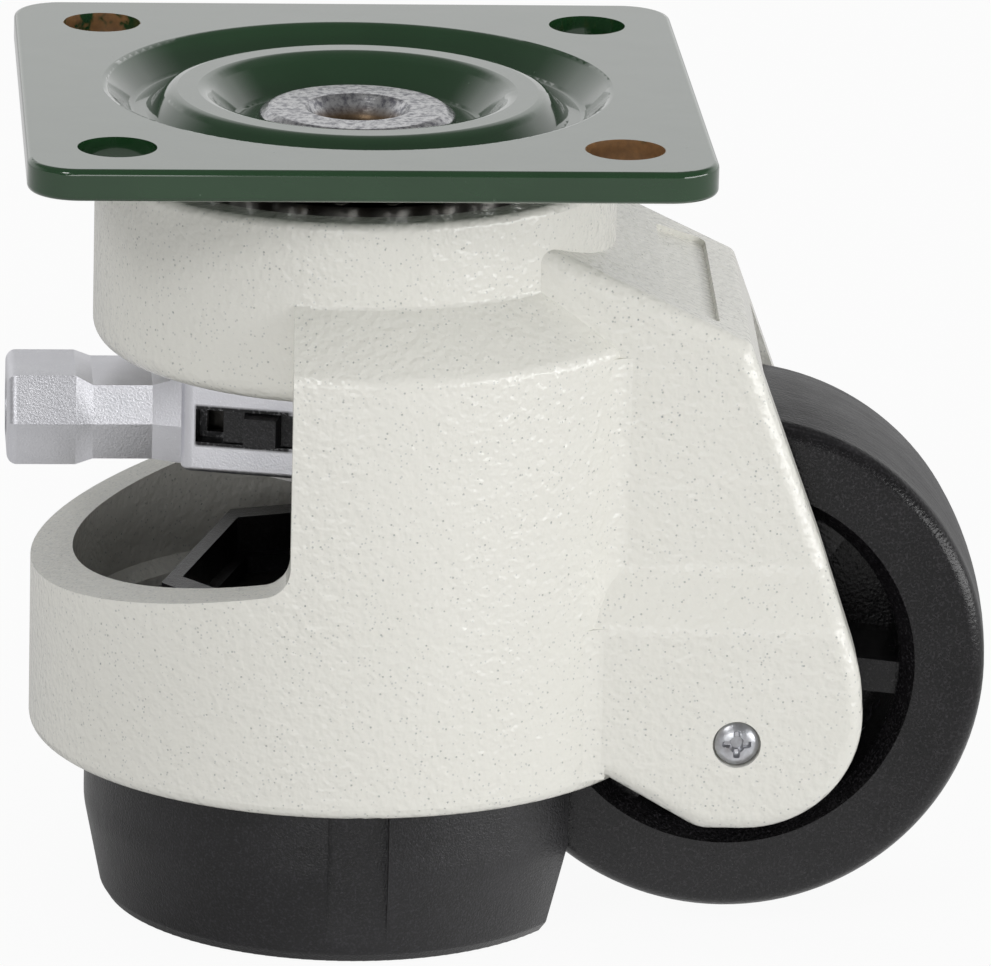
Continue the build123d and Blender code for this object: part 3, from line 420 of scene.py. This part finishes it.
def oiled_steel(name, tone=0.20):
    """Dark machined steel with an oil film."""
    finish = Finish(name, (tone, tone * 0.97, tone * 0.92), 0.3, metallic=1.0)
    film = finish.spread(size=3.0, detail=4.0, rough=0.6)
    cut = finish.spread(size=0.5, detail=2.0, rough=0.5, stretch=(1.0, 1.0, 6.0))
    light = (tone * 1.25, tone * 1.2, tone * 1.12)
    dark = (tone * 0.5, tone * 0.47, tone * 0.42)
    finish.set("Base Color", finish.tint(film, light, dark))
    finish.set("Roughness", 0.2 + film * 0.25)
    finish.relief(cut, depth=0.03)
    return finish.material


def bronze():
    """Sintered bronze."""
    light, dark = (0.48, 0.31, 0.16), (0.24, 0.14, 0.07)
    finish = Finish("bronze", (0.42, 0.26, 0.13), 0.38, metallic=1.0)
    grain = finish.spread(size=0.3, detail=2.0, rough=0.6)
    stain = finish.spread(size=3.0, detail=3.0, rough=0.6)
    finish.set("Base Color", finish.tint(stain, light, dark))
    finish.set("Roughness", 0.3 + grain * 0.25)
    finish.relief(grain, depth=0.05)
    return finish.material


# ---- pieces made here ------------------------------------------------------------------

def piece(name, points, faces, body, material):
    """A smooth mesh object in the model's frame that rides on a body."""
    mesh = bpy.data.meshes.new(name)
    mesh.from_pydata(points, [], faces)
    mesh.validate()
    made = bpy.data.objects.new(name, mesh)
    bpy.context.collection.objects.link(made)
    mesh.materials.append(material)
    mesh.shade_smooth()
    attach(made, body)
    return made


def held(number):
    """The number, held between 0 and 1."""
    return min(max(number, 0.0), 1.0)


def ring_faces(steps, count):
    """Faces of a closed ring made of steps sections with count points each."""
    faces = []
    for step in range(steps):
        here, there = step * count, (step + 1) % steps * count
        for place in range(count):
            beside = (place + 1) % count
            faces.append((here + place, there + place, there + beside, here + beside))
    return faces


def lathe(profile, steps):
    """Points and faces of a ring: a closed profile of (radius, height) turned about Z."""
    points = []
    for step in range(steps):
        angle = 2 * math.pi * step / steps
        points += [(radius * math.cos(angle), radius * math.sin(angle), height)
                   for radius, height in profile]
    return points, [face[::-1] for face in ring_faces(steps, len(profile))]


def join(*parts):
    """One set of points and faces from several."""
    points, faces = [], []
    for some_points, some_faces in parts:
        start = len(points)
        points += some_points
        faces += [tuple(start + place for place in face) for face in some_faces]
    return points, faces


def trapezoid_thread(radius, depth, pitch, top, bottom, around=56, rows=14):
    """Right-hand trapezoidal thread, fading out into a chamfer at its upper end."""
    root_half, flank, run_out, chamfer = 0.13, 0.12, 0.45, 0.9
    points, faces = [], []
    levels = int((top - bottom) / pitch * rows)
    for level in range(levels + 1):
        height = top + (bottom - top) * level / levels
        for step in range(around):
            turn = step / around
            phase = (height / pitch - turn) % 1.0
            crest = held((abs(phase - 0.5) - root_half) / flank)
            lead_in = min((top - height) / (run_out * pitch), 1.0)
            limit = radius - depth * chamfer * (1.0 - lead_in)
            reach = min(radius - depth * (1.0 - crest), limit)
            angle = 2 * math.pi * turn
            points.append((reach * math.cos(angle), reach * math.sin(angle), height))
    for level in range(levels):
        for step in range(around):
            here, there = level * around + step, level * around + (step + 1) % around
            faces.append((here, here + around, there + around, there))
    faces.append(tuple(range(around)))
    faces.append(tuple(reversed(range(levels * around, (levels + 1) * around))))
    return points, faces


def threaded_spindle(material):
    """Screw spindle with its thread, collar and tenon, in place of the plain solid."""
    low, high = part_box("spindle")
    plain, core, tenon, collar_tall = 8.0 * MM, 1.0 * MM, 6.0 * MM, 4.0 * MM
    pitch, depth, edge, overlap = 4.0 * MM, 1.9 * MM, 0.6 * MM, 0.5 * MM
    collar_radius = (high[0] - low[0]) / 2
    collar_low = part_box("foot_insert")[1][2]
    collar_top = collar_low + collar_tall
    thread = trapezoid_thread(plain, depth, pitch, high[2], collar_top - overlap)
    collar = lathe([
        (core, collar_top), (collar_radius - edge, collar_top),
        (collar_radius, collar_top - edge), (collar_radius, collar_low),
        (tenon, collar_low), (tenon, low[2]), (core, low[2]),
    ], 64)
    points, faces = join(thread, collar)
    made = piece("spindle_thread", points, faces, "foot_set", material)
    made.data.set_sharp_from_angle(angle=math.radians(35))
    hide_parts("spindle")


def bearing_grease(material):
    """Grease squeezed out between the upper balls."""
    low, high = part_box("upper_balls")
    middle = (low[2] + high[2]) / 2
    ball = (high[2] - low[2]) / 2
    ring = (high[0] - low[0]) / 2 - ball
    around, section = 260, 14
    fill, ripple, flatten = 0.64, 0.16, 0.95
    ripple_around, ripple_across = 40, 2.0
    points = []
    for step in range(around):
        angle = 2 * math.pi * step / around
        for place in range(section):
            lean = 2 * math.pi * place / section
            seed = Vector((math.cos(angle) * ripple_around, math.sin(angle) * ripple_around,
                           lean * ripple_across))
            swell = ball * (fill + ripple * noise.noise(seed))
            out = ring + swell * math.cos(lean)
            points.append((out * math.cos(angle), out * math.sin(angle),
                           middle + swell * flatten * math.sin(lean)))
    made = piece("bearing_grease", points, ring_faces(around, section), "ball_rows", material)


def cross_recess_screws(material, turn):
    """Pan-head screws with a cross recess, one in the outer face of each arm."""
    low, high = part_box("axle_screws")
    across = Vector((-math.sin(turn), math.cos(turn), 0.0))
    along = Vector((math.cos(turn), math.sin(turn), 0.0))
    head = (high[2] - low[2]) / 2
    half = (high[1] - low[1]) / 2 - head * abs(math.sin(turn))
    tall, dome = 2.1 * MM, 0.8 * MM
    wing, tip, well, deep = 0.42 * MM, 1.75 * MM, 0.85 * MM, 1.35 * MM
    shank, length = 1.95 * MM, 10.0 * MM
    taper, shallower = 0.35, 0.45
    wing_edge, tip_edge, well_edge = 0.12 * MM, 0.25 * MM, 0.3 * MM
    around, rings = 96, 26

    def sink(a, b):
        """Depth of the recess at a point of the head."""
        near, far = sorted((abs(a), abs(b)))
        arm = 1.0 - held((near - wing * (1.0 - taper * far / tip)) / wing_edge)
        arm *= 1.0 - held((far - tip) / tip_edge)
        pit = 1.0 - held((math.hypot(a, b) - well) / well_edge)
        return deep * max(arm * (1.0 - shallower * far / tip), pit)

    parts = []
    for side in (-1, 1):
        top = (low + high) / 2 + across * side * half
        inward = -across * side
        points = [tuple(top + inward * sink(0, 0))]
        circles = [(head * ring / rings, None) for ring in range(1, rings + 1)]
        circles += [(head, tall), (shank, tall), (shank, tall + length)]
        for radius, depth in circles:
            for step in range(around):
                angle = 2 * math.pi * step / around
                a, b = radius * math.cos(angle), radius * math.sin(angle)
                drop = dome * (radius / head) ** 3 + sink(a, b) if depth is None else depth
                points.append(tuple(top + along * a + Vector((0, 0, b)) + inward * drop))
        points.append(tuple(top + inward * (tall + length + shank)))
        last = len(points) - 1
        faces = []
        for step in range(around):
            beside = (step + 1) % around
            faces.append((0, 1 + step, 1 + beside))
            for circle in range(len(circles) - 1):
                here, there = 1 + circle * around, 1 + (circle + 1) * around
                faces.append((here + step, there + step, there + beside, here + beside))
            end = last - around
            faces.append((end + step, last, end + beside))
        if side > 0:
            faces = [tuple(reversed(face)) for face in faces]
        parts.append((points, faces))
    points, faces = join(*parts)
    made = piece("cross_recess_screws", points, faces, "fork", material)
    made.data.set_sharp_from_angle(angle=math.radians(40))
    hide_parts("axle_screws")


# ---- dress the solids ------------------------------------------------------------------

record = frame["record"]
mounts = {mount["name"]: mount for mount in record["mounts"]}
holes = mounts["top_plate_bolts"]["dims"]
half_x, half_y = holes["spacing_x_mm"] / 2, holes["spacing_y_mm"] / 2
rusty_holes = (
    ((-half_x, -half_y), 0.1),
    ((-half_x, half_y), 0.6),
    ((half_x, -half_y), 0.95),
    ((half_x, half_y), 0.3),
)
kingpin_bore = 5.3
wheel_joint = next(j for j in record["behaviour"]["joints"] if j["name"] == "wheel_spin")
wheel_x, _, wheel_z = (part / MM for part in wheel_joint["pos_m"])
fork_turn = math.atan2(-wheel_joint["axis"][0], wheel_joint["axis"][1])

# the lever's painted slot shade fills the selector's slot, which reaches past the selector at rest
selector_low, selector_high = (Vector(corner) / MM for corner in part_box("selector"))
slot_low = selector_low + Vector((-3.8, 1.6, -0.5))
slot_high = selector_high + Vector((6.0, 0.0, 0.5))

ivory = ivory_coat()
plated = zinc_plate("zinc_plate")
turned_zinc = zinc_plate("turned_zinc", rings=True)
blued = oiled_steel("blued_steel", 0.12)
oiled = oiled_steel("oiled_steel", 0.22)
screw_zinc = zinc_plate("screw_zinc", tone=0.62, warm=-0.3, grain=0.2)

finishes = {
    "top_plate": green_paint(rusty_holes, holes["hole_r_mm"]),
    "kingpin": kingpin_steel(kingpin_bore),
    "spacer_sleeve": plated,
    "lower_ball_cup": plated,
    "upper_balls": ball_steel(),
    "upper_race": oiled,
    "lower_race": oiled,
    "fork_housing": ivory,
    "thrust_plate": ivory,
    "thrust_screws": plated,
    "slide_ring": bronze(),
    "axle": turned_zinc,
    "wheel_washers": plated,
    "wheel": wheel_nylon((wheel_x, wheel_z)),
    "ratchet_nut": oiled,
    "upper_nut_clip": blued,
    "lower_nut_clip": blued,
    "keeper_washer": turned_zinc,
    "lever": cast_silver(slot_low, slot_high),
    "pawl": blued,
    "pawl_pin": plated,
    "selector": foot_nylon("selector_nylon", low=(0.010, 0.010, 0.011),
                           high=(0.016, 0.0155, 0.017), rough=0.36, gloss=0.4),
    "detent_spring": blued,
    "foot_insert": oiled_steel("insert_steel", 0.16),
    "foot": foot_nylon("foot_nylon", low=(0.003, 0.0028, 0.0033),
                       high=(0.009, 0.0085, 0.010), rough=0.30, gloss=0.5),
    "foot_bolt": plated,
    "foot_bolt_washer": plated,
}
same_as = {"lower_balls": "upper_balls", "detent_ball": "upper_balls", "wheel_bush": "slide_ring"}
finishes.update({node: finishes[other] for node, other in same_as.items()})

for node, material in finishes.items():
    solid = frame["nodes"][node]
    solid.data.materials.clear()
    solid.data.materials.append(material)
    for face in solid.data.polygons:
        face.material_index = 0

threaded_spindle(oiled_steel("thread_steel", 0.34))
bearing_grease(grease())
cross_recess_screws(screw_zinc, fork_turn)

# ---- studio ----------------------------------------------------------------------------


def paper_floor(level):
    """Pale floor under the part, which keeps the part's shadow; in reflections it glows brighter
    round lit_middle, as a painted pool of light.
    """
    reach = 6.0
    mesh = bpy.data.meshes.new("floor")
    corners = [(-reach, -reach, level), (reach, -reach, level), (reach, reach, level),
               (-reach, reach, level)]
    mesh.from_pydata(corners, [], [(0, 1, 2, 3)])
    floor = bpy.data.objects.new("floor", mesh)
    bpy.context.collection.objects.link(floor)
    background, mirror_far, mirror_near = 0.94, 0.14, 0.80
    lit_middle, lit_edge, lit_full = (75.0, 0.0), 105.0, 60.0
    paper = Finish("floor_paper", (0.63, 0.63, 0.63), 0.9, Specular_IOR_Level=0.0)
    white = paper.node("ShaderNodeEmission", None, {"Color": (1, 1, 1), "Strength": 1.0})
    # lit_side: painted pool of light on the floor, seen only in reflections
    lit_side = paper.ramp(paper.radius(lit_middle), lit_edge, lit_full)
    mirrored = paper.rays("Is Glossy Ray") * (mirror_far + lit_side * mirror_near)
    plain = paper.rays("Is Camera Ray", "Is Transmission Ray") * background
    seen = paper.node("ShaderNodeMixShader", None, {
        0: plain.math("MAXIMUM", plain, mirrored),
        1: Value(paper, paper.shader.outputs[0]), 2: white,
    })
    paper.feed(paper.output.inputs["Surface"], seen)
    mesh.materials.append(paper.material)


def studio_world():
    """White surround behind the part, falling off overhead and in front."""
    world = bpy.data.worlds.new("studio")
    bpy.context.scene.world = world
    world.use_nodes = True
    room = Tree(world.node_tree)
    dark_mirror, wall_mirror, dark_light, top_light = 0.20, 0.64, 0.35, 0.38
    spot = room.node("ShaderNodeTexCoord", output="Generated")
    parts = room.tree.nodes.new("ShaderNodeSeparateXYZ")
    room.feed(parts.inputs[0], spot)
    back, height = Value(room, parts.outputs["Y"]), Value(room, parts.outputs["Z"])
    wall = room.ramp(back, -0.2, 0.45) * room.ramp(height, 0.62, 0.40)
    mirrored = dark_mirror + wall * wall_mirror
    soft = dark_light + room.ramp(height, 0.0, 0.7) * top_light
    glossy = room.rays("Is Glossy Ray")
    plain = room.rays("Is Camera Ray", "Is Transmission Ray")
    level = soft + glossy * (mirrored - soft)
    strength = level + plain * (1.0 - level)
    sky = room.node("ShaderNodeBackground", None, {"Color": (1, 1, 1), "Strength": strength})
    output = room.tree.nodes.new("ShaderNodeOutputWorld")
    room.feed(output.inputs["Surface"], sky)


def soft_box(name, spot, aim, size, power):
    """Rectangular lamp, size wide and high, turned towards a point."""
    lamp = bpy.data.lights.new(name, "AREA")
    lamp.shape = "RECTANGLE"
    lamp.size, lamp.size_y = size
    lamp.energy = power
    made = bpy.data.objects.new(name, lamp)
    bpy.context.collection.objects.link(made)
    made.location = spot
    made.rotation_mode = "QUATERNION"
    made.rotation_quaternion = (Vector(spot) - Vector(aim)).to_track_quat("Z", "Y")


def camera(azimuth, elevation, roll, aim, distance, lens):
    """Long lens looking at a point from an angle, rolled about its own axis."""
    a, e = math.radians(azimuth), math.radians(elevation)
    back = Vector((math.sin(a) * math.cos(e), -math.cos(a) * math.cos(e), math.sin(e)))
    data = bpy.data.cameras.new("camera")
    data.lens = lens
    data.sensor_width, data.clip_start, data.clip_end = 36.0, 0.05, 30.0
    made = bpy.data.objects.new("camera", data)
    bpy.context.collection.objects.link(made)
    made.rotation_mode = "QUATERNION"
    made.rotation_quaternion = (
        Quaternion(back, math.radians(roll)) @ (-back).to_track_quat("-Z", "Y")
    )
    made.location = Vector(aim) + back * distance
    bpy.context.scene.camera = made


floor_gap = 0.0002
paper_floor(cad_box[0][2] - floor_gap)
studio_world()
# the side and front lamps stay low, so that the plate does not mirror them from above
middle = (0.01, 0.0, -0.06)
soft_box("side_box", (1.27, -0.67, 0.0), middle, size=(1.6, 0.42), power=11.5)
soft_box("front_box", (-0.30, -1.45, 0.0), middle, size=(0.7, 0.4), power=3.2)
soft_box("edge_box", (-0.70, -1.15, 0.82), middle, size=(0.3, 0.3), power=3.2)
camera(azimuth=-4.2705, elevation=16.694, roll=1.4067, aim=(0.01948, -0.01747, -0.05327),
       distance=1.4238, lens=367.27)
bpy.context.scene.view_settings.view_transform = "Standard"
